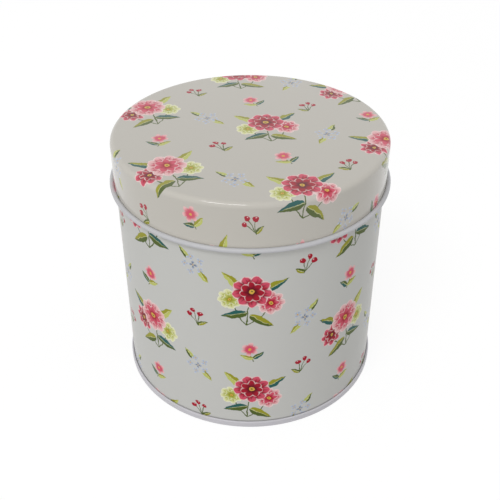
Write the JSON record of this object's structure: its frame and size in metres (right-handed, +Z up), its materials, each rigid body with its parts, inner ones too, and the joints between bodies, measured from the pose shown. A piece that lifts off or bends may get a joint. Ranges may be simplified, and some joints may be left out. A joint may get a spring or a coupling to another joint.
{
  "type": "tea caddy",
  "caption": "Round tinplate tea caddy with a rolled wall, a double-seamed base and a drawn slip lid with a curled edge.",
  "frame": {"origin": "middle of the ring that the caddy stands on, at the surface under it", "axes": "+Z up along the caddy's axis, through the lid; the locked side seam is at the back, on +Y; -Y is the front in the picture"},
  "size_m": [0.1042, 0.1042, 0.101],
  "materials": {
    "wall_enamel": "glossy off-white enamel with a printed floral pattern outside, clear lacquered tinplate inside",
    "base_lacquer": "plain white enamel on the seam ring and the underside, clear lacquered tinplate inside",
    "lid_enamel": "glossy off-white enamel with a printed floral pattern outside, plain white enamel on the curled edge"
  },
  "bodies": {
    "caddy": {"body_wall": "wall_enamel", "base": "base_lacquer"},
    "lid": {"lid": "lid_enamel"}
  },
  "joints": [
    {"name": "lid_lift", "type": "slide", "parent": "caddy", "child": "lid", "axis": [0, 0, 1], "range_m": [0, 0.06]}
  ]
}
